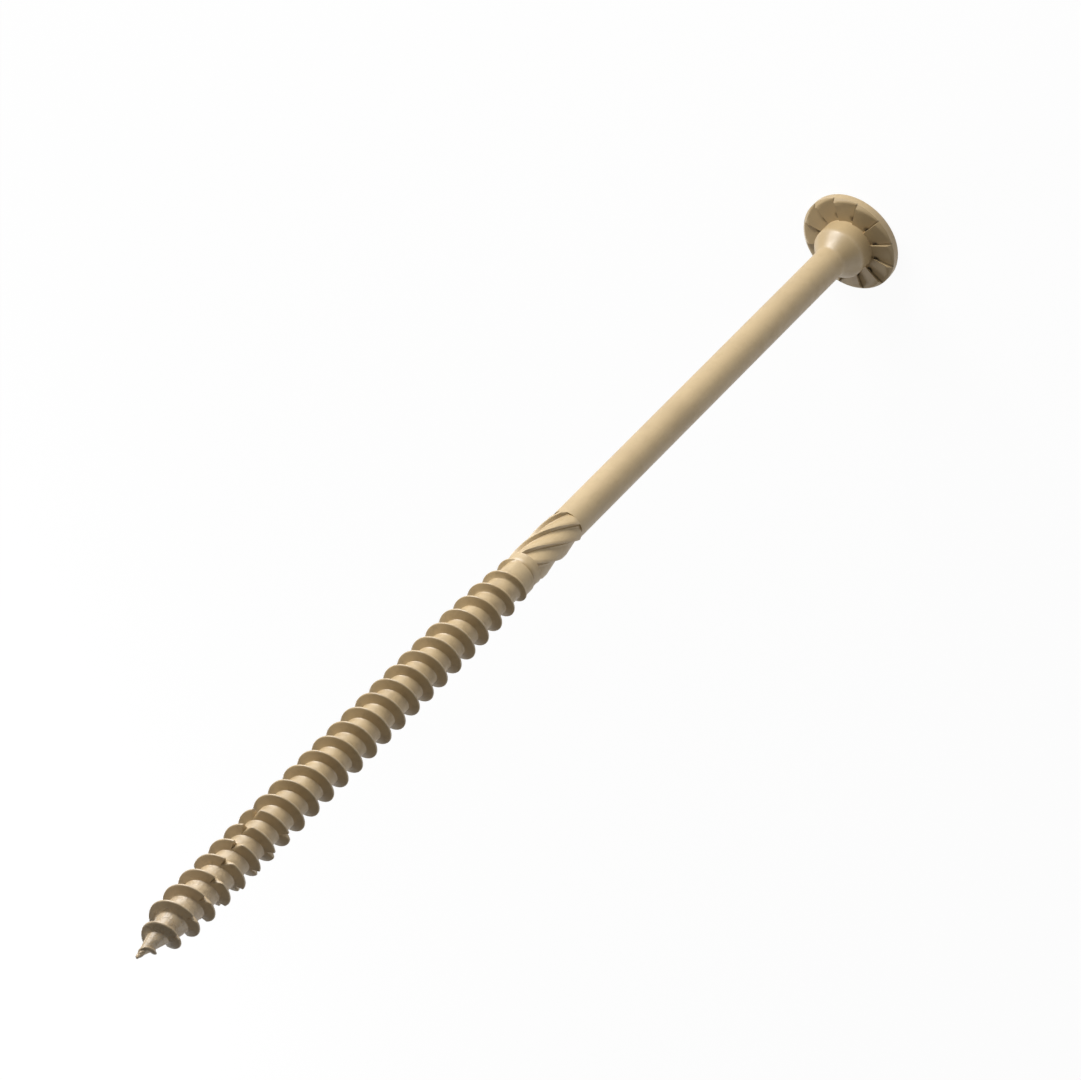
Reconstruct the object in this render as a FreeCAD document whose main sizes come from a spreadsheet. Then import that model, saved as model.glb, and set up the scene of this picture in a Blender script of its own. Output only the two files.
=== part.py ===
import FreeCAD, Part
import os
import Sketcher
from FreeCAD import Placement, Rotation, Vector

doc = FreeCAD.newDocument("timber_screw")

# Driving sizes, in millimetres and degrees. Heights run along the screw from its point.
sheet = doc.addObject("Spreadsheet::Sheet", "dims")
sizes = [
    # shank and core
    ("shank_dia", 5.6, "plain shank"),
    ("core_dia", 5.1, "thread root"),
    ("under_head", 203.2, "point to the bearing face of the head"),
    ("point_dia", 0.3, "blunt end of the gimlet point"),
    ("cone_dia", 4.8, "core where the steep part of the point ends"),
    ("cone_end", 8.6, "height of that place"),
    ("core_start", 13.0, "height where the core reaches its full diameter"),
    # thread
    ("thread_dia", 8.0, "across the crests"),
    ("pitch_len", 3.873, "rise of one turn"),
    ("crest_width", 0.66, "thread at the foot of the crest's two bevels"),
    ("crest_bevel", 0.36, "height of those bevels"),
    ("flank_angle", 25.0, "each flank, from the plane across the screw"),
    ("first_crest", -1.96, "height of the crest at angle zero where the sweep starts"),
    ("crest_full", 11.2, "height where the crest reaches its full diameter"),
    ("thread_top", 102.0, "height where the run-out ends"),
    ("fade_length", 16.0, "length over which the crest falls to the run-out"),
    ("runout_dia", 6.24, "wide flat land of the last turn"),
    ("runout_turn", -30.0, "angle at which the last groove ends"),
    # notches in the lower crests
    ("notch_turn", 9.0, "turns of the thread below the uppermost notch"),
    ("notch_first", 57.5, "angle of that notch on its turn"),
    ("notch_step", 115.41, "angle from one notch to the next, down the thread"),
    ("notch_floor_dia", 5.6, "diameter to which a notch is cut"),
    ("notch_width", 1.5, "mouth of a notch at the crest"),
    ("notch_length", 2.2, "length of the cut along the screw"),
    # reaming section
    ("collar_dia", 5.84, "plain collar under the reaming section"),
    ("collar_length", 2.2, "its length"),
    ("reamer_dia", 6.2, "across the ribs"),
    ("flute_dia", 5.0, "across the floors of the flutes"),
    ("flute_length", 12.3, "length of the flutes"),
    ("flute_lead", 34.2, "rise of one turn of a flute"),
    ("rib_angle", 11.6, "angle of a rib's crest at the low end of the flutes"),
    ("rib_land", 0.6, "flat on top of a rib, along the screw"),
    # head
    ("neck_dia", 9.4, "shoulder under the head"),
    ("neck_length", 5.5, "low end of the shoulder to the bearing face"),
    ("neck_straight", 2.8, "its part that has the full diameter"),
    ("head_dia", 17.6, "washer head"),
    ("head_bevel", 0.65, "bevel of the head's lower edge"),
    ("head_height", 2.3, "bearing face to the top of the head"),
    ("head_round", 0.5, "rounding of the head's upper edge"),
    # ratchet teeth in the bearing face
    ("tooth_start", 7.5, "angle of the first step"),
    ("tooth_tilt", 7.6, "slope of a tooth"),
    ("tooth_ring_dia", 10.4, "inner end of the teeth"),
    # six-lobe drive
    ("drive_points", 6.75, "across the points of the lobes"),
    ("drive_valleys", 4.85, "across the valleys"),
    ("drive_scoop", 1.56, "radius of a valley"),
    ("drive_depth", 4.0, "depth of the lobes"),
    ("drive_cone", 1.0, "depth of the cone below them"),
]
for row, (name, value, note) in enumerate(sizes, start=1):
    sheet.set("A%d" % row, name)
    sheet.set("B%d" % row, str(value))
    sheet.set("C%d" % row, note)
    sheet.setAlias("B%d" % row, name)
doc.recompute()


def origin_plane(body, role):
    """The body's own origin plane with this role."""
    return next(f for f in body.Origin.OriginFeatures if f.Role == role)


def sketch_on(body, name, role):
    """An empty sketch on one of the body's own origin planes."""
    sketch = body.newObject("Sketcher::SketchObject", name)
    sketch.AttachmentSupport = (origin_plane(body, role), [""])
    sketch.MapMode = "FlatFace"
    return sketch


def bind(sketch, constraint, formula):
    """Adds a driving constraint and binds it to the sheet."""
    index = sketch.addConstraint(constraint)
    sketch.setExpression("Constraints[%d]" % index, formula)


def polygon(sketch, corners):
    """A closed outline. Each corner is a pair of formulas, and "0" puts it on the sketch's own axis."""
    count = len(corners)
    turn = Rotation(Vector(0, 0, 1), 360.0 / count)
    spoke = Vector(8, 0, 0)
    start = []
    for _ in corners:
        start.append(Vector(20, 20, 0) + spoke)
        spoke = turn.multVec(spoke)
    for i in range(count):
        sketch.addGeometry(Part.LineSegment(start[i], start[(i + 1) % count]), False)
    for i in range(count):
        sketch.addConstraint(Sketcher.Constraint("Coincident", i, 2, (i + 1) % count, 1))
    for i, (across, along) in enumerate(corners):
        if across == "0":
            sketch.addConstraint(Sketcher.Constraint("PointOnObject", i, 1, -2))
        else:
            bind(sketch, Sketcher.Constraint("DistanceX", -1, 1, i, 1, start[i].x), across)
        if along == "0":
            sketch.addConstraint(Sketcher.Constraint("PointOnObject", i, 1, -1))
        else:
            bind(sketch, Sketcher.Constraint("DistanceY", -1, 1, i, 1, start[i].y), along)


def revolved(name, corners):
    """A body turned about the screw's axis from an outline of radius and height."""
    body = doc.addObject("PartDesign::Body", name)
    sketch = sketch_on(body, name + "_outline", "XZ_Plane")
    polygon(sketch, corners)
    turned = body.newObject("PartDesign::Revolution", name + "_turned")
    turned.Profile = sketch
    turned.ReferenceAxis = (sketch, ["V_Axis"])
    turned.Angle = 360
    return body


def swept(body, name, corners, lift, turn, pitch, turns):
    """A section of radius and height, carried round the screw's axis on a right-hand helix."""
    sketch = sketch_on(body, name + "_section", "XZ_Plane")
    polygon(sketch, corners)
    sketch.setExpression(".AttachmentOffset.Base.y", lift)
    sketch.AttachmentOffset = Placement(Vector(), Rotation(Vector(0, 1, 0), 1))
    sketch.setExpression(".AttachmentOffset.Rotation.Angle", turn)
    helix = body.newObject("PartDesign::AdditiveHelix", name)
    helix.Profile = sketch
    helix.ReferenceAxis = (sketch, ["V_Axis"])
    helix.Mode = "pitch-turns-angle"
    helix.setExpression("Pitch", pitch)
    helix.setExpression("Turns", turns)
    helix.Angle = 0
    helix.LeftHanded = False
    helix.Reversed = False
    return helix


def boolean(kind, name, parts):
    """A boolean of whole solids. A cut takes the first and then its tool."""
    made = doc.addObject("Part::" + kind, name)
    if kind == "Cut":
        made.Base, made.Tool = parts
    else:
        made.Shapes = parts
    return made


# Heights that follow from the sizes.
flute_low = "(dims.thread_top + dims.collar_length)"
flute_high = "(dims.thread_top + dims.collar_length + dims.flute_length)"
head_top = "(dims.under_head + dims.head_height)"
thread_turns = "floor((dims.thread_top - dims.first_crest) / dims.pitch_len)"

# Blank: everything that is round, from the point to the top of the head.
blank = revolved("blank", [
    ("0", "0"),
    ("dims.point_dia / 2", "0"),
    ("dims.cone_dia / 2", "dims.cone_end"),
    ("dims.core_dia / 2", "dims.core_start"),
    ("dims.core_dia / 2", "dims.thread_top - 0.4"),
    ("dims.collar_dia / 2", "dims.thread_top - 0.4"),
    ("dims.collar_dia / 2", flute_low + " - 0.5"),
    ("dims.reamer_dia / 2", flute_low + " + 0.6"),
    ("dims.reamer_dia / 2", flute_high + " - 0.8"),
    ("dims.shank_dia / 2", flute_high),
    ("dims.shank_dia / 2", "dims.under_head - dims.neck_length"),
    ("dims.neck_dia / 2", "dims.under_head - dims.neck_straight"),
    ("dims.neck_dia / 2", "dims.under_head"),
    ("dims.head_dia / 2 - dims.head_bevel", "dims.under_head"),
    ("dims.head_dia / 2", "dims.under_head + dims.head_bevel"),
    ("dims.head_dia / 2", head_top + " - dims.head_round"),
    ("dims.head_dia / 2 - 0.3 * dims.head_round", head_top + " - 0.3 * dims.head_round"),
    ("dims.head_dia / 2 - dims.head_round", head_top),
    ("0", head_top),
])
doc.recompute()

# Ratchet teeth: a sloping sector is milled from the bearing face and repeated round the neck.
tooth = sketch_on(blank, "tooth_sector", "XY_Plane")
tooth.addGeometry([
    Part.ArcOfCircle(Part.Circle(Vector(0, 0, 0), Vector(0, 0, 1), 5.2), 0, 0.52),
    Part.ArcOfCircle(Part.Circle(Vector(0, 0, 0), Vector(0, 0, 1), 9.8), 0, 0.52),
    Part.LineSegment(Vector(5.2, 0, 0), Vector(9.8, 0, 0)),
    Part.LineSegment(Vector(4.5, 2.6, 0), Vector(8.5, 4.9, 0)),
], False)
tooth.addConstraint([
    Sketcher.Constraint("Coincident", 0, 3, -1, 1),
    Sketcher.Constraint("Coincident", 1, 3, -1, 1),
    Sketcher.Constraint("Coincident", 2, 1, 0, 1),
    Sketcher.Constraint("Coincident", 2, 2, 1, 1),
    Sketcher.Constraint("Coincident", 3, 1, 0, 2),
    Sketcher.Constraint("Coincident", 3, 2, 1, 2),
    Sketcher.Constraint("Horizontal", 2),
    Sketcher.Constraint("PointOnObject", -1, 1, 3),
])
bind(tooth, Sketcher.Constraint("Radius", 0, 5.2), "dims.tooth_ring_dia / 2")
bind(tooth, Sketcher.Constraint("Radius", 1, 9.8), "dims.head_dia / 2 + 1")
tooth.addConstraint(Sketcher.Constraint("Angle", 2, 1, 3, 1, 0.5236))
tooth.AttachmentOffset = Placement(Vector(0, 0, 1), Rotation(10, 0, 8))
tooth.setExpression(".AttachmentOffset.Base.z", "dims.under_head")
tooth.setExpression(".AttachmentOffset.Rotation.Yaw", "dims.tooth_start")
tooth.setExpression(".AttachmentOffset.Rotation.Roll", "dims.tooth_tilt")
mill = blank.newObject("PartDesign::Pocket", "tooth_cut")
mill.Profile = tooth
mill.Type = "Length"
mill.Length = 1.6
mill.Reversed = False
teeth = blank.newObject("PartDesign::PolarPattern", "teeth")
teeth.Originals = [mill]
teeth.Axis = (origin_plane(blank, "Z_Axis"), [""])
teeth.Angle = 360
teeth.Occurrences = 12
blank.Tip = teeth
doc.recompute()

# Six-lobe drive bit, cut from the top of the head.
bit = revolved("drive_bit", [
    ("0", head_top + " - dims.drive_depth - dims.drive_cone"),
    ("dims.drive_points / 2", head_top + " - dims.drive_depth"),
    ("dims.drive_points / 2", head_top + " + 1"),
    ("0", head_top + " + 1"),
])
scoop = sketch_on(bit, "scoop_circle", "XY_Plane")
scoop.addGeometry(Part.Circle(Vector(4, 0, 0), Vector(0, 0, 1), 1.5), False)
scoop.addConstraint(Sketcher.Constraint("PointOnObject", 0, 3, -1))
bind(scoop, Sketcher.Constraint("DistanceX", -1, 1, 0, 3, 4), "dims.drive_valleys / 2 + dims.drive_scoop")
bind(scoop, Sketcher.Constraint("Radius", 0, 1.5), "dims.drive_scoop")
valley = bit.newObject("PartDesign::Pocket", "scoop_cut")
valley.Profile = scoop
valley.Type = "ThroughAll"
valley.Reversed = True
valleys = bit.newObject("PartDesign::PolarPattern", "scoops")
valleys.Originals = [valley]
valleys.Axis = (origin_plane(bit, "Z_Axis"), [""])
valleys.Angle = 360
valleys.Occurrences = 6
bit.Tip = valleys

# Flutes of the reaming section: six helical cutters held together by a tube outside the ribs.
cutters = revolved("flute_cutters", [
    ("dims.reamer_dia / 2 + 0.2", flute_low + " - 12"),
    ("dims.reamer_dia / 2 + 0.7", flute_low + " - 12"),
    ("dims.reamer_dia / 2 + 0.7", flute_high + " + 12"),
    ("dims.reamer_dia / 2 + 0.2", flute_high + " + 12"),
])
flute = swept(cutters, "flute", [
    ("dims.reamer_dia / 2 + 0.4", "dims.rib_land / 2"),
    ("dims.reamer_dia / 2 + 0.01", "dims.rib_land / 2"),
    ("dims.flute_dia / 2", "dims.flute_lead / 6 * 0.68"),
    ("dims.flute_dia / 2", "dims.flute_lead / 6 * 0.85"),
    ("dims.reamer_dia / 2 + 0.1", "dims.flute_lead / 6 - dims.rib_land / 2"),
    ("dims.reamer_dia / 2 + 0.4", "dims.flute_lead / 6 - dims.rib_land / 2"),
], flute_low + " - (dims.rib_angle + 60) / 360 * dims.flute_lead", "0 * 1 deg",
    "dims.flute_lead", "dims.flute_length / dims.flute_lead + 0.24")
flutes = cutters.newObject("PartDesign::PolarPattern", "flutes")
flutes.Originals = [flute]
flutes.Axis = (origin_plane(cutters, "Z_Axis"), [""])
flutes.Angle = 360
flutes.Occurrences = 6
cutters.Tip = flutes
flute_band = doc.addObject("Part::Cylinder", "flute_band")
flute_band.setExpression("Radius", "dims.reamer_dia / 2 + 0.5")
flute_band.setExpression("Height", "dims.flute_length")
flute_band.setExpression(".Placement.Base.z", flute_low)
flute_tool = boolean("MultiCommon", "flute_tool", [cutters, flute_band])

# Thread: a ridge swept round the core, and the wide flat land of its last turn.
ridge = doc.addObject("PartDesign::Body", "ridge")
bevel_foot = "dims.thread_dia / 2 - dims.crest_bevel"
root_half = "(dims.crest_width / 2 + (" + bevel_foot + " - 0.35) * tan(dims.flank_angle))"
swept(ridge, "ridge_sweep", [
    ("0.35", "2 - " + root_half),
    (bevel_foot, "2 - dims.crest_width / 2"),
    ("dims.thread_dia / 2", "2"),
    (bevel_foot, "2 + dims.crest_width / 2"),
    ("0.35", "2 + " + root_half),
], "dims.first_crest - 2", "0 * 1 deg", "dims.pitch_len", thread_turns + " + 1.5")
land = doc.addObject("PartDesign::Body", "land")
swept(land, "land_sweep", [
    ("dims.core_dia / 2 - 0.25", "dims.pitch_len"),
    ("dims.runout_dia / 2", "dims.pitch_len"),
    ("dims.runout_dia / 2", "1.95 * dims.pitch_len"),
    ("dims.core_dia / 2 - 0.25", "1.95 * dims.pitch_len"),
], "dims.first_crest + dims.pitch_len * (" + thread_turns + " - 1 + dims.runout_turn / 360)",
    "dims.runout_turn * 1 deg", "dims.pitch_len", "0.97")
envelope = revolved("crest_envelope", [
    ("0", "0.4"),
    ("0.05", "0.4"),
    ("dims.thread_dia * 0.32", "dims.crest_full * 0.43"),
    ("dims.thread_dia * 0.4475", "dims.crest_full * 0.65"),
    ("dims.thread_dia / 2 + 0.02", "dims.crest_full"),
    ("dims.thread_dia / 2 + 0.02", "dims.thread_top - dims.fade_length"),
    ("dims.thread_dia * 0.477", "dims.thread_top - dims.fade_length * 0.52"),
    ("dims.thread_dia * 0.406", "dims.thread_top"),
    ("0", "dims.thread_top"),
])
ridge_trim = boolean("MultiCommon", "ridge_trim", [ridge, envelope])
land_trim = boolean("MultiCommon", "land_trim", [land, envelope])

thread = boolean("MultiFuse", "thread", [ridge_trim, land_trim])
body = boolean("MultiFuse", "plain_body", [blank, thread])

# Notches in the lower crests: one side stands straight out, the other slopes back.
notches = []
for step in range(24):
    along = "(dims.notch_turn + dims.notch_first / 360 - %d * dims.notch_step / 360)" % step
    height = "(dims.first_crest + dims.pitch_len * %s)" % along
    core = "(dims.point_dia / 2 + (dims.cone_dia - dims.point_dia) / 2 * %s / dims.cone_end)" % height
    floor = "min(dims.notch_floor_dia / 2; %s + 0.25)" % core
    depth = "(dims.thread_dia / 2 + 0.4 - %s)" % floor
    notch = doc.addObject("Part::Wedge", "notch_%02d" % (step + 1))
    notch.Xmin = notch.X2min = notch.X2max = 0
    notch.Ymin = 0
    notch.setExpression("Ymax", depth)
    notch.setExpression("Xmax", "dims.notch_width * %s / (%s - 0.4)" % (depth, depth))
    for prop in ("Zmin", "Z2min"):
        notch.setExpression(prop, "-dims.notch_length / 2")
    for prop in ("Zmax", "Z2max"):
        notch.setExpression(prop, "dims.notch_length / 2")
    angle = "(360 * %s + 90) * 1 deg" % along
    notch.Placement = Placement(Vector(), Rotation(Vector(0, 0, 1), 1))
    notch.setExpression(".Placement.Rotation.Angle", angle)
    notch.setExpression(".Placement.Base.x", "(dims.thread_dia / 2 + 0.4) * sin(%s)" % angle)
    notch.setExpression(".Placement.Base.y", "-(dims.thread_dia / 2 + 0.4) * cos(%s)" % angle)
    notch.setExpression(".Placement.Base.z", height)
    notches.append(notch)
notch_tool = doc.addObject("Part::Compound", "notch_tool")
notch_tool.Links = notches

# The screw, stood on its head with the point up.
notched = boolean("Cut", "notched", [body, notch_tool])
fluted = boolean("Cut", "fluted", [notched, flute_tool])
screw = boolean("Cut", "screw", [fluted, bit])
screw.Label = "screw"
screw.setExpression("Placement", (
    "create(<<placement>>; create(<<vector>>; 0; 0; dims.under_head + dims.head_height);"
    " create(<<rotation>>; create(<<vector>>; 1; 0; 0); 180 deg))"
))
doc.recompute()

for item in doc.Objects:
    if "Invalid" in item.State or "Error" in item.State:
        raise RuntimeError("%s did not recompute: %s" % (item.Label, item.State))
shape = screw.Shape
if shape.isNull() or not shape.isValid() or len(shape.Solids) != 1:
    raise RuntimeError("screw is not one valid solid")
print("volume", round(shape.Volume, 1), "mm3")
os.makedirs("parts", exist_ok=True)
shape.exportStep("parts/%s.step" % screw.Label)
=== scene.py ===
import math

import bpy
import numpy as np
from bpy.props import FloatProperty, FloatVectorProperty, PointerProperty
from mathutils import Matrix, Vector


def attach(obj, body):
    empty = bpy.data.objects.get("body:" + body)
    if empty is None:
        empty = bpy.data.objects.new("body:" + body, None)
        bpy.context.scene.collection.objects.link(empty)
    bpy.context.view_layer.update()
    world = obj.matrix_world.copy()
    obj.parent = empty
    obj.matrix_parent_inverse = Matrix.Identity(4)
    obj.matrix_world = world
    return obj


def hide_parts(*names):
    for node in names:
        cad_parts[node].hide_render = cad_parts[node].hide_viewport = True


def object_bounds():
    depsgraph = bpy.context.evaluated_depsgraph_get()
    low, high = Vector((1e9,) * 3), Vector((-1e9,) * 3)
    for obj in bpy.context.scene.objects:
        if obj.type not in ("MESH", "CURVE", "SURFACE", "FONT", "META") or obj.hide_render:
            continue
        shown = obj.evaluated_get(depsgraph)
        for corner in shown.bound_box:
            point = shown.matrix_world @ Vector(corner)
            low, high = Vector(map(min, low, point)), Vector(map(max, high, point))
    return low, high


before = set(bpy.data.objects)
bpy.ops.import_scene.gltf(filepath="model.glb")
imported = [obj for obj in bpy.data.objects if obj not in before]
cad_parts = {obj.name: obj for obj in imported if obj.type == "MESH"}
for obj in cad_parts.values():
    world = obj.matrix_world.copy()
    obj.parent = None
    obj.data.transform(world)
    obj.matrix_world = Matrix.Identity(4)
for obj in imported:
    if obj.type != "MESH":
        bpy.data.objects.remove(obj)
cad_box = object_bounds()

bl_info = {
    "name": "Timber Screw",
    "version": (1, 0, 0),
    "blender": (4, 5, 0),
    "location": "View3D > Sidebar > Screw",
    "description": "A coated timber screw with a toothed washer head, stood on its head in a studio",
    "category": "Object",
}


class Value:
    """A number that a node tree works out at each point. Sums on it add Math nodes."""

    def __init__(self, shader, socket):
        self.shader = shader
        self.socket = socket

    def math(self, operation, *inputs):
        return self.shader.node("ShaderNodeMath", {"operation": operation}, dict(enumerate(inputs)))["Value"]

    def __add__(self, other):
        return self.math("ADD", self, other)

    __radd__ = __add__

    def __sub__(self, other):
        return self.math("SUBTRACT", self, other)

    def __rsub__(self, other):
        return self.math("SUBTRACT", other, self)

    def __mul__(self, other):
        return self.math("MULTIPLY", self, other)

    __rmul__ = __mul__

    def __truediv__(self, other):
        return self.math("DIVIDE", self, other)

    def __pow__(self, other):
        return self.math("POWER", self, other)

    def angle(self, x):
        """The angle at the centre of the place whose y is this value."""
        return self.math("ARCTAN2", self, x)

    def fraction(self):
        """What is left over a whole number."""
        return self.math("FRACT", self)

    def fade(self, low, high):
        """0 below low, 1 above high and smooth between."""
        return self.shader.node(
            "ShaderNodeMapRange",
            {"interpolation_type": "SMOOTHSTEP", "clamp": True},
            {"Value": self, "From Min": low, "From Max": high},
        )["Result"]


class Made:
    """A node that has been added. Its outputs are read by name."""

    def __init__(self, shader, node):
        self.shader = shader
        self.node = node

    def __getitem__(self, name):
        return Value(self.shader, self.node.outputs[name])


class Shader:
    """A material and its node tree."""

    def __init__(self, name):
        self.material = bpy.data.materials.new(name)
        self.material.use_nodes = True
        self.tree = self.material.node_tree
        self.tree.nodes.clear()

    def node(self, kind, settings=None, sockets=None):
        """Adds a node. Settings are set first, and then its sockets get values or links."""
        node = self.tree.nodes.new(kind)
        for name, value in (settings or {}).items():
            setattr(node, name, value)
        for name, value in (sockets or {}).items():
            if isinstance(value, Value):
                self.tree.links.new(value.socket, node.inputs[name])
            else:
                node.inputs[name].default_value = value
        return Made(self, node)

    def mix(self, factor, first, second):
        """A colour between two colours."""
        made = self.node("ShaderNodeMix", {"data_type": "RGBA"}, {0: factor, 6: first, 7: second})
        return Value(self, made.node.outputs[2])

    def noise(self, place, scale, detail=4.0, roughness=0.55):
        """Noise about 0.5 at a place in metres, with scale in features a metre."""
        return self.node(
            "ShaderNodeTexNoise",
            {"noise_dimensions": "3D"},
            {"Vector": place, "Scale": scale, "Detail": detail, "Roughness": roughness},
        )["Fac"]

    def surface(self, made, output):
        """Ends the tree with a shader."""
        self.node("ShaderNodeOutputMaterial", None, {"Surface": made[output]})
        return self.material


class ScrewForm(bpy.types.PropertyGroup):
    """The screw's sizes."""

    thread: FloatProperty(
        name="Thread", description="Diameter across the crests", default=0.008, unit="LENGTH",
        subtype="DISTANCE",
    )
    core: FloatProperty(
        name="Core", description="Diameter at the root of the thread", default=0.0051, unit="LENGTH",
        subtype="DISTANCE",
    )
    pitch: FloatProperty(
        name="Pitch", description="Rise of one turn of the thread", default=0.003873, unit="LENGTH",
        subtype="DISTANCE",
    )
    crest: FloatProperty(
        name="Crest", description="Width of the thread's rounded crest", default=0.00034, unit="LENGTH",
        subtype="DISTANCE",
    )
    shank: FloatProperty(
        name="Shank", description="Diameter of the plain shank", default=0.0056, unit="LENGTH",
        subtype="DISTANCE",
    )
    head: FloatProperty(
        name="Head", description="Diameter of the washer head", default=0.01755, unit="LENGTH",
        subtype="DISTANCE",
    )


class ScrewCoating(bpy.types.PropertyGroup):
    """The coated steel."""

    tan: FloatVectorProperty(
        name="Tan", description="Colour of the coating", subtype="COLOR", size=3, min=0, max=1,
        default=(0.53, 0.392, 0.208),
    )
    deep_tan_and_root_shade: FloatVectorProperty(
        name="Deep tan", description="Colour where the coating is thick", subtype="COLOR",
        size=3, min=0, max=1, default=(0.37, 0.262, 0.13),
    )
    thin: FloatVectorProperty(
        name="Thin tan", description="Colour where the coating is thin, towards the point", subtype="COLOR",
        size=3, min=0, max=1, default=(0.62, 0.48, 0.33),
    )
    painted_tooth_shade: FloatVectorProperty(
        name="Painted_shade", description="Colour of the dirt beside the teeth", subtype="COLOR",
        size=3, min=0, max=1, default=(0.09, 0.065, 0.035),
    )
    steel: FloatVectorProperty(
        name="Steel", description="Colour of the metal where the coating is worn through", subtype="COLOR",
        size=3, min=0, max=1, default=(0.52, 0.44, 0.33),
    )
    roughness: FloatProperty(
        name="Roughness", description="Roughness of the coating", subtype="FACTOR", default=0.45,
        min=0, max=1,
    )


class ScrewStage(bpy.types.PropertyGroup):
    """The floor, the lights and the camera."""

    floor: FloatVectorProperty(
        name="Floor", description="Colour of the floor", subtype="COLOR", size=3, min=0, max=1,
        default=(0.8, 0.8, 0.8),
    )
    focal: FloatProperty(
        name="Focal length", description="Focal length of the camera in millimetres", unit="CAMERA",
        default=205.05, min=10,
    )
    distance: FloatProperty(
        name="Distance", description="Camera to the screw's axis", subtype="DISTANCE", unit="LENGTH",
        default=0.9672, min=0.1,
    )
    azimuth: FloatProperty(
        name="Azimuth", description="Way that the camera looks, from north towards east", subtype="ANGLE",
        unit="ROTATION", default=math.radians(-89.04),
    )
    elevation: FloatProperty(
        name="Elevation", description="Height of the camera over the floor, as an angle", subtype="ANGLE",
        unit="ROTATION", default=math.radians(40.09),
    )
    roll: FloatProperty(
        name="Roll", description="Turn of the camera about its own line of sight", subtype="ANGLE",
        unit="ROTATION", default=math.radians(135.03),
    )
    aim: FloatProperty(
        name="Aim", description="Distance from the point of the screw to the place that the camera looks at",
        subtype="DISTANCE", unit="LENGTH", default=0.11055, min=0,
    )
    aside: FloatProperty(
        name="Aside", description="How far that place lies above and left of the axis in the picture",
        subtype="DISTANCE", unit="LENGTH", default=0.0014,
    )


def coating(settings):
    """Satin coating that is cloudy, with painted shade in the roots and beside the teeth, and worn to steel
    on the point and the crests, where the lighter steel is partly a painted highlight.
    """
    shader = Shader("coating")
    place = shader.node("ShaderNodeTexCoord")["Object"]
    parts = shader.node("ShaderNodeSeparateXYZ", None, {"Vector": place})
    radius = (parts["X"] * parts["X"] + parts["Y"] * parts["Y"]) ** 0.5 * 1000
    height = LENGTH - parts["Z"] * 1000
    grain = shader.noise(place, 2400.0, 3.0)
    mottle = shader.noise(place, 700.0)
    cloud = shader.noise(place, 150.0, 3.0)
    threaded = 1 - height.fade(THREAD_TOP - 0.5, THREAD_TOP + 0.5)
    color = shader.mix(cloud.fade(0.35, 0.75) * 0.35, (*settings.tan, 1), (*settings.deep_tan_and_root_shade, 1))
    color = shader.mix(mottle.fade(0.5, 0.72) * (threaded * 0.3 + 0.15), color, (*settings.deep_tan_and_root_shade, 1))
    # painted shade in the thread's roots, in patches of the deep tan
    root = (1 - radius.fade(2.5, 3.5)) * threaded
    color = shader.mix(root * mottle.fade(0.35, 0.65) * 0.35, color, (*settings.deep_tan_and_root_shade, 1))
    # painted shade beside the upright sides of the teeth, thickest at their inner ends, in the pits
    into = (((parts["Y"] * -1).angle(parts["X"]) - TOOTH_START) / TOOTH_STEP + TEETH).fraction()
    outside = radius.fade(PIT_RADIUS - 0.6, PIT_RADIUS - 0.35)
    inner = outside * (1 - radius.fade(PIT_RADIUS + 0.1, PIT_RADIUS + 0.8))
    beside = into.fade(0.9, 0.97) * outside * 0.55 + into.fade(0.72, 0.92) * inner * 0.8
    under = height.fade(HEAD_FACE - 0.08, HEAD_FACE) * (1 - height.fade(204.0, 204.1))
    color = shader.mix(beside * under, color, (*settings.painted_tooth_shade, 1))
    point = 1 - height.fade(3.0, 15.0)
    patches = shader.noise(place, 1300.0, 2.0)
    lower = patches.fade(0.5, 0.6) * (1 - height.fade(4.0, 40.0)) * (1 - radius.fade(2.7, 3.3))
    color = shader.mix(lower * 0.75, color, (*settings.deep_tan_and_root_shade, 1))
    color = shader.mix((1 - height.fade(8.0, 45.0)) * 0.25, color, (*settings.thin, 1))
    # steel where the coating is worn on the point; on the crests the lighter steel is partly worn coating
    # and partly a painted highlight along the crest line
    wear_and_crest_highlight = (radius.fade(3.86, 3.97) * threaded * 0.35 + point * 0.5) * grain.fade(0.42, 0.62)
    color = shader.mix(wear_and_crest_highlight, color, (*settings.steel, 1))
    bump = shader.node("ShaderNodeBump", None, {
        "Strength": 0.3, "Distance": 0.00006, "Height": mottle + grain * 0.4 + lower * 2,
    })
    made = shader.node("ShaderNodeBsdfPrincipled", None, {
        "Base Color": color,
        "Roughness": settings.roughness + (mottle - 0.5) * 0.3,
        "Specular IOR Level": 0.9,
        "Normal": bump["Normal"],
    })
    return shader.surface(made, "BSDF")


def floor_material(settings):
    """Pale and even, and white to the camera, with the object's shadow on it."""
    shader = Shader("floor")
    plain = shader.node("ShaderNodeBsdfDiffuse", None, {"Color": (*settings.floor, 1)})
    white = shader.node("ShaderNodeEmission", None, {"Color": (1, 1, 1, 1), "Strength": 1.07})
    path = shader.node("ShaderNodeLightPath")
    seen = (path["Is Camera Ray"] + path["Is Glossy Ray"]) * 0.88
    made = shader.node("ShaderNodeMixShader", None, {0: seen, 1: plain["BSDF"], 2: white["Emission"]})
    return shader.surface(made, "Shader")


# Heights and radii below are in millimetres, and heights run from the point of the screw.
LENGTH = 205.5
POINT_RADIUS = 0.12
FIRST_CREST = -1.96
FLANK = math.radians(25)
THREAD_TOP = 102.0
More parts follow.
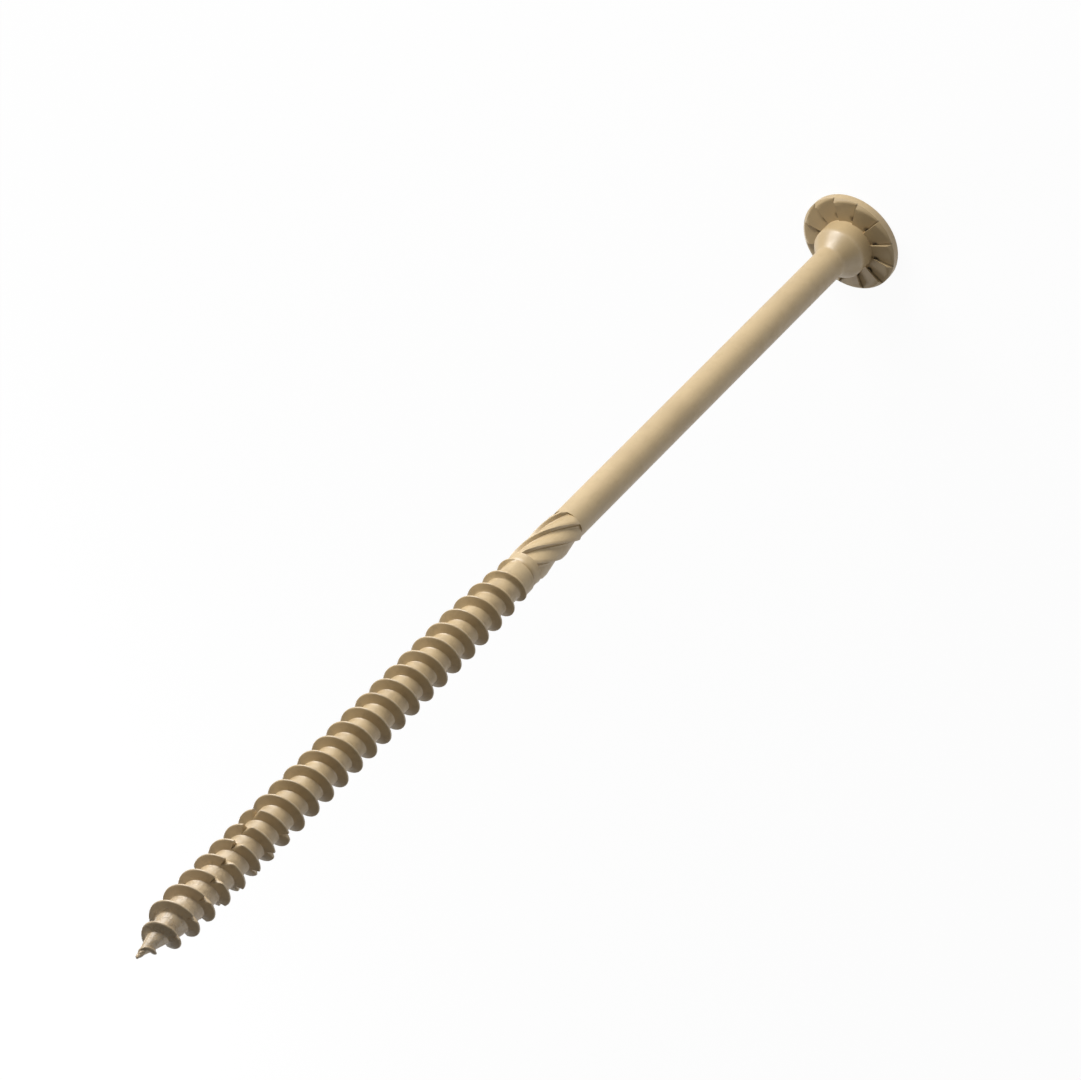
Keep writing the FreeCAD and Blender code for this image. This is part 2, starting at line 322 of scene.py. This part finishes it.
# the wide flat land starts on this turn of the thread, at this share of a turn
LAND_TURN = 26
LAND_START = -1 / 12
LAND_RATIO = 0.78
NOTCHES = 24
NOTCH_TURNS = 9
NOTCH_FIRST = 57.5
NOTCH_STEP = 115.41
NOTCH_FLOOR = 2.8
COLLAR_FOOT = 2.68
COLLAR_RADIUS = 2.92
COLLAR_END = 103.7
FLUTES = 6
FLUTE_START = 104.2
FLUTE_END = 116.5
FLUTE_LEAD = 34.2
FLUTE_RADIUS = 2.5
RIB_RADIUS = 3.1
RIB_HEIGHT = 97.4
NECK_RADIUS = 4.7
HEAD_FACE = 203.2
HEAD_BEVEL = 0.65
TEETH = 12
TOOTH_STEP = math.tau / TEETH
TOOTH_START = math.radians(7.5)
TOOTH_SLOPE = math.tan(math.radians(7.6))
PIT_RADIUS = 5.6
PIT_DEPTH = 0.3
LOBES = 6
LOBE_CENTER = 3.985
LOBE_SCOOP = 1.56
LOBE_POINT = 3.375
RECESS_FLOOR = 200.5
COLUMNS = 120
EVEN = math.tau * np.arange(COLUMNS) / COLUMNS


def wrapped(value, low):
    """The value brought between low and low plus one by whole steps."""
    return (value - low) % 1.0 + low


def thread_radius(form, height, angle):
    """Radius of the threaded part at arrays of heights and angles."""
    pitch = form.pitch * 1000
    crest = form.thread * 500 * np.interp(
        height,
        (0.0, 0.95, 2.9, 4.8, 6.75, 8.7, 11.2, 86.0, 93.6, THREAD_TOP),
        (0.04, 0.1375, 0.3625, 0.645, 0.84, 0.965, 1.0, 1.0, 0.955, 0.812),
    )
    core = form.core * 500 * np.interp(height, (0.0, 3.2, 5.3, 8.6, 13.0), (0.06, 0.4, 0.62, 0.94, 1.0))
    turn = (height - FIRST_CREST) / pitch
    away = np.abs(wrapped(turn - angle / math.tau, -0.5)) * pitch
    half = form.crest * 500
    # straight flanks under a rounded crest
    flank = crest - np.maximum(away - half, 0) / math.tan(FLANK)
    flank -= 0.05 * np.clip(away / half, 0, 1) ** 2
    # a small fillet at the root
    fillet = np.maximum(0.16 - np.abs(flank - core), 0) ** 2 / 0.64
    radius = np.maximum(flank, core) + fillet
    # the last groove fades out into a wide flat land
    share = wrapped(angle / math.tau, LAND_START)
    last = turn - share
    wide = np.maximum(radius, form.thread * 500 * LAND_RATIO)
    land = (last >= LAND_TURN) & (last < LAND_TURN + 0.97)
    groove = (last >= LAND_TURN - 1) & (last < LAND_TURN - 0.03)
    rise = np.clip(share * 8 - 6.333, 0, 1) * groove
    return np.where(land, wide, radius + (wide - radius) * rise)


def cut_notches(form, height, angle, radius):
    """Cuts the lower crests, and draws the columns beside each notch to its upright side."""
    outer = form.thread * 500 + 0.4
    step = EVEN[1]
    # three lines of notches run down the thread, and the hidden one stops short of the point
    for number in range(NOTCHES):
        if number % 3 == 2 and number > 13:
            continue
        turn = NOTCH_TURNS + (NOTCH_FIRST - number * NOTCH_STEP - 8 * (number % 3 == 0)) / 360
        place = FIRST_CREST + form.pitch * 1000 * turn
        floor = min(NOTCH_FLOOR, 0.4 + 2.25 * place / 8.6)
        near = np.abs(height - place) < 1.15
        side = wrapped(angle / math.tau - turn, -0.5) * math.tau
        before = near & (side < 0) & (side >= -step)
        after = near & (side >= 0) & (side < step)
        angle[before] -= side[before] + 0.004
        angle[after] -= side[after] - 0.004
        side = wrapped(angle / math.tau - turn, -0.5) * math.tau
        slope = floor + radius * np.sin(side) * (outer - floor - 0.4) / 1.5
        inside = near & (side > 0) & (side < 0.6)
        radius[inside] = np.minimum(radius, slope)[inside]


def threaded_part(form):
    """Places and face corners of the threaded part. Rows follow the helix, and both ends are round."""
    pitch = form.pitch * 1000
    half = form.crest * 500
    foot = half + (form.thread - form.core) * 500 * math.tan(FLANK)
    steps = [0.5 * half, 0.9 * half, 1.3 * half]
    steps += [half + share * (foot - half) for share in (0.25, 0.55, 0.8, 0.97)]
    steps += [foot + more for more in (0.08, 0.3, 0.65)]
    row = np.array([-step for step in reversed(steps)] + [0.0] + steps + [pitch / 2])
    turns = math.ceil((THREAD_TOP - FIRST_CREST) / pitch) + 2
    start = (FIRST_CREST + pitch * np.arange(-1, turns)[:, None] + row).ravel()
    angle = np.tile(EVEN, (start.size, 1))
    raw = start[:, None] + pitch * EVEN / math.tau
    height = np.clip(raw, 0, THREAD_TOP)
    radius = thread_radius(form, height, angle)
    cut_notches(form, height, angle, radius)
    # the point is ragged and has a burr
    waves = np.sin(3 * angle + 4 * height) + 0.6 * np.sin(7 * angle - 9 * height)
    rough = 0.07 * np.clip(1.8 - height, 0, 1) * waves
    burr = 0.2 * np.exp(-((height - 2.9) / 0.35) ** 2 - (14 * wrapped(angle / math.tau - 0.25, -0.5)) ** 2)
    radius = np.maximum(radius + rough + burr, 0.08)
    # rows beyond an end are left out, apart from the first at the top, which keeps the step there
    below = raw <= 0
    beyond = np.cumsum(raw >= THREAD_TOP, axis=0) > 1
    kept = ~(below | beyond)
    column = np.tile(np.arange(COLUMNS), (start.size, 1))
    corner = np.where(below, column, COLUMNS + column)
    corner[kept] = 2 * COLUMNS + np.arange(kept.sum())
    seam = np.concatenate([corner[row.size:, 0], np.full(row.size, COLUMNS)])
    corner = np.concatenate([corner, seam[:, None]], axis=1)
    ends = [ring(0.0, EVEN, POINT_RADIUS), ring(THREAD_TOP, EVEN, COLLAR_FOOT)]
    places = np.concatenate(ends + [np.stack([height[kept], angle[kept], radius[kept]], 1)])
    quads = np.stack([corner[:-1, :-1], corner[:-1, 1:], corner[1:, 1:], corner[1:, :-1]], -1).reshape(-1, 4)
    return places, quads


def ring(height, angle, radius):
    """One row round the screw, with the height, angle and radius of each column."""
    return np.stack(np.broadcast_arrays(height, angle, radius), 1).astype(float)


def matched(angles, earlier, carried=None):
    """The same places round the screw, numbered so that each comes near the earlier one of its number."""
    shift = round(float(np.mean(angles - earlier)) / EVEN[1])
    number = np.arange(COLUMNS) - shift
    placed = angles[number % COLUMNS] + math.tau * (number // COLUMNS)
    return placed if carried is None else (placed, carried[number % COLUMNS])


def flute_columns():
    """Angles of the columns where the flutes' helix meets the collar, and the cut radius along each."""
    part = COLUMNS // FLUTES
    share = np.interp(np.arange(part), (0, 2, 10, 13, 19), (-0.053, 0.053, 0.68, 0.84, 0.94))
    cut = np.interp(
        share,
        (-0.053, 0.053, 0.68, 0.73, 0.79, 0.84, 0.935, 0.947),
        (RIB_RADIUS, RIB_RADIUS, FLUTE_RADIUS, FLUTE_RADIUS, 2.58, FLUTE_RADIUS, RIB_RADIUS, RIB_RADIUS),
    )
    low = (np.repeat(np.arange(FLUTES), part) - np.tile(share[::-1], FLUTES)) * math.tau / FLUTES
    low += math.tau * (COLLAR_END - RIB_HEIGHT) / FLUTE_LEAD
    return matched(low, EVEN, np.tile(cut[::-1], FLUTES))


def reamer_rings(form):
    """Rings of the collar, where the columns turn into the edges of the flutes, and of the flutes."""
    low, cut = flute_columns()
    shank = form.shank * 500
    rings = []
    for height, turn, radius in (
        (102.3, 0.1, COLLAR_FOOT),
        (102.45, 0.2, 2.78),
        (102.6, 0.35, 2.88),
        (103.2, 0.7, COLLAR_RADIUS),
        (COLLAR_END, 1.0, COLLAR_RADIUS),
    ):
        rings.append(ring(height, EVEN + turn * (low - EVEN), radius))

    def turned(height):
        return low + math.tau * (height - COLLAR_END) / FLUTE_LEAD

    levels = np.linspace(FLUTE_START, FLUTE_END, 38)
    blank = np.interp(
        levels, (COLLAR_END, 104.8, 115.7, FLUTE_END), (COLLAR_RADIUS, RIB_RADIUS, RIB_RADIUS, shank),
    )
    rings.append(ring(FLUTE_START - 0.02, turned(FLUTE_START), blank[0]))
    for height, radius in zip(levels, blank):
        rings.append(ring(height, turned(height), np.minimum(radius, cut)))
    rings.append(ring(FLUTE_END + 0.03, turned(FLUTE_END), shank - 0.01))
    rings.append(ring(FLUTE_END + 0.15, turned(FLUTE_END), shank))
    return rings


def shank_rings(form, flutes):
    """Rings of the shank, where the columns turn into the edges of the teeth, and of the neck."""
    shank = form.shank * 500
    tooth = np.radians([0.12, 3.4, 6.8, 10.2, 13.5, 16.8, 20.1, 23.4, 26.7, 29.88])
    teeth = matched((TOOTH_START + TOOTH_STEP * np.arange(TEETH)[:, None] + tooth).ravel(), flutes)
    rings = []
    for height, turn in ((118, 0), (130, 0.2), (145, 0.4), (160, 0.6), (175, 0.8), (190, 1)):
        rings.append(ring(height, flutes + turn * (teeth - flutes), shank))
    for height, radius in (
        (197.3, shank),
        (197.55, shank + 0.01),
        (197.75, 2.86),
        (198.0, 3.01),
        (199.0, 3.715),
        (200.0, 4.41),
        (200.2, 4.54),
        (200.4, 4.635),
        (200.65, 4.685),
        (200.95, NECK_RADIUS),
        (202.5, NECK_RADIUS),
        (203.1, NECK_RADIUS),
    ):
        rings.append(ring(height, teeth, radius))
    return rings


def head_rings(form, teeth):
    """Rings of the ratchet teeth, the rim, the top and the drive recess."""
    head = form.head * 500
    into = wrapped((teeth - TOOTH_START) / TOOTH_STEP, 0)
    rings = []
    for radius in (
        4.73, 4.9, 5.15, 5.4, 5.65, 5.9, 6.2, 6.8, 7.5, head - HEAD_BEVEL, head - 0.45, head - 0.25,
        head - 0.1, head,
    ):
        bevel = HEAD_FACE + max(radius - head + HEAD_BEVEL, 0)
        cut = HEAD_FACE + radius * np.sin(into * TOOTH_STEP) * TOOTH_SLOPE
        # a pit at the inner end of each upright side
        cut += PIT_DEPTH * np.exp(-((radius - PIT_RADIUS) / 0.25) ** 2) * np.clip(into * 5 - 4, 0, 1)
        rings.append(ring(np.maximum(cut, bevel), teeth, radius))
    for height, inward in (
        (204.0, 0), (204.9, 0), (205.1, 0.02), (205.3, 0.13), (205.43, 0.3), (LENGTH, 0.5),
    ):
        rings.append(ring(height, teeth, head - inward))
    # six-lobe recess
    lobe = wrapped(teeth * LOBES / math.tau, -0.5) * math.tau / LOBES
    within = np.maximum(LOBE_SCOOP ** 2 - (LOBE_CENTER * np.sin(lobe)) ** 2, 0)
    scoop = LOBE_CENTER * np.cos(lobe) - np.sqrt(within)
    recess = np.minimum(np.where(np.abs(lobe) < 0.4, scoop, LOBE_POINT), LOBE_POINT)
    rings.append(ring(LENGTH, teeth, 6.0))
    rings.append(ring(LENGTH, teeth, recess + 0.15))
    rings.append(ring(LENGTH - 0.15, teeth, recess))
    for share in (1.0, 0.5):
        rings.append(ring(RECESS_FLOOR + share * recess / LOBE_POINT, teeth, share * recess))
    return rings


def screw_mesh(form):
    """The whole screw as one closed mesh, stood on its head."""
    places, quads = threaded_part(form)
    rings = reamer_rings(form)
    rings += shank_rings(form, rings[-1][:, 1])
    rings += head_rings(form, rings[-1][:, 1])
    first = len(places)
    places = np.concatenate([places] + rings)
    starts = [COLUMNS] + [first + COLUMNS * i for i in range(len(rings))]
    number = np.arange(COLUMNS)
    after = (number + 1) % COLUMNS
    bands = [quads]
    for low, high in zip(starts, starts[1:]):
        bands.append(np.stack([low + number, low + after, high + after, high + number], 1))
    faces = []
    for quad in np.concatenate(bands).tolist():
        kept = list(dict.fromkeys(quad))
        if len(kept) > 2:
            faces.append(kept)
    point = len(places)
    for a, b in zip(number.tolist(), after.tolist()):
        faces.append([b, a, point])
        faces.append([starts[-1] + a, starts[-1] + b, point + 1])
    height, angle, radius = places.T
    spots = np.stack([radius * np.cos(angle), -radius * np.sin(angle), LENGTH - height], 1)
    spots = np.concatenate([spots, [[0, 0, LENGTH], [0, 0, LENGTH - RECESS_FLOOR]]]) / 1000
    mesh = bpy.data.meshes.new("screw")
    mesh.from_pydata(spots.tolist(), [], faces)
    mesh.shade_smooth()
    mesh.set_sharp_from_angle(angle=math.radians(38))
    return mesh


class SCREW_OT_build(bpy.types.Operator):
    """Adds the screw with its thread, flutes, teeth and coating"""

    bl_idname = "screw.build"
    bl_label = "Build the Screw"

    def execute(self, context):
        mesh = screw_mesh(context.scene.screw_form)
        if mesh.validate():
            raise RuntimeError("the screw's sizes don't give a sound mesh")
        mesh.materials.append(coating(context.scene.screw_coating))
        made = bpy.data.objects.new("timber_screw", mesh)
        context.scene.collection.objects.link(made)
        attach(made, "root")
        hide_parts("screw")
        return {"FINISHED"}


class SCREW_OT_stage(bpy.types.Operator):
    """Adds the floor, the lights and the camera"""

    bl_idname = "screw.stage"
    bl_label = "Set the Stage"

    def execute(self, context):
        settings = context.scene.screw_stage
        scene = context.scene
        if "timber_screw" not in scene.objects:
            raise RuntimeError("the screw is built before its stage is set")
        mesh = bpy.data.meshes.new("floor")
        mesh.from_pydata([(-6, -6, 0), (6, -6, 0), (6, 6, 0), (-6, 6, 0)], [], [(0, 1, 2, 3)])
        floor = bpy.data.objects.new("floor", mesh)
        floor.location.z = cad_box[0][2]
        mesh.materials.append(floor_material(settings))
        scene.collection.objects.link(floor)

        look = Vector((
            math.sin(settings.azimuth) * math.cos(settings.elevation),
            math.cos(settings.azimuth) * math.cos(settings.elevation),
            -math.sin(settings.elevation),
        ))
        level = look.cross(Vector((0, 0, 1))).normalized()
        right = Matrix.Rotation(settings.roll, 3, look) @ level
        up = right.cross(look)
        target = Vector((0, 0, LENGTH / 1000 - settings.aim)) + settings.aside * level
        data = bpy.data.cameras.new("camera")
        data.lens = settings.focal
        data.sensor_width = 36
        data.clip_end = 100
        camera = bpy.data.objects.new("camera", data)
        camera.matrix_world = Matrix.Translation(target - look * settings.distance) @ Matrix(
            (right, up, -look)
        ).transposed().to_4x4()
        scene.collection.objects.link(camera)
        scene.camera = camera

        def lamp(name, place, aim, width, height, power):
            light = bpy.data.lights.new(name, "AREA")
            light.shape = "RECTANGLE"
            light.size = width
            light.size_y = height
            light.energy = power
            holder = bpy.data.objects.new(name, light)
            holder.location = place
            holder.rotation_euler = (Vector(aim) - Vector(place)).to_track_quat("-Z", "Y").to_euler()
            scene.collection.objects.link(holder)

        lamp("key", (0.16, 0.33, 0.07), (0, 0, 0.18), 0.3, 0.12, 1.85)
        lamp("fill", (0.05, -0.42, 0.06), (0, 0, 0.13), 0.4, 0.11, 0.3)
        lamp("back", (-0.45, 0.14, 0.08), (0, 0, 0.05), 0.2, 0.1, 0.8)
        world = bpy.data.worlds.new("world")
        world.use_nodes = True
        world.node_tree.nodes["Background"].inputs["Color"].default_value = (1, 1, 1, 1)
        world.node_tree.nodes["Background"].inputs["Strength"].default_value = 0.17
        scene.world = world
        scene.view_settings.view_transform = "Standard"
        return {"FINISHED"}


class SCREW_PT_panel(bpy.types.Panel):
    """The screw and its stage"""

    bl_idname = "SCREW_PT_panel"
    bl_label = "Screw"
    bl_space_type = "VIEW_3D"
    bl_region_type = "UI"
    bl_category = "Screw"

    def draw(self, context):
        layout = self.layout
        for group in (context.scene.screw_form, context.scene.screw_coating, context.scene.screw_stage):
            box = layout.box()
            for name in group.bl_rna.properties.keys():
                if name not in {"rna_type", "name"}:
                    box.prop(group, name)
        layout.operator("screw.build")
        layout.operator("screw.stage")


CLASSES = (ScrewForm, ScrewCoating, ScrewStage, SCREW_OT_build, SCREW_OT_stage, SCREW_PT_panel)


def register():
    for item in CLASSES:
        bpy.utils.register_class(item)
    bpy.types.Scene.screw_form = PointerProperty(type=ScrewForm)
    bpy.types.Scene.screw_coating = PointerProperty(type=ScrewCoating)
    bpy.types.Scene.screw_stage = PointerProperty(type=ScrewStage)


def unregister():
    del bpy.types.Scene.screw_stage
    del bpy.types.Scene.screw_coating
    del bpy.types.Scene.screw_form
    for item in reversed(CLASSES):
        bpy.utils.unregister_class(item)


def main():
    register()
    bpy.ops.screw.build()
    bpy.ops.screw.stage()


if __name__ == "__main__":
    main()
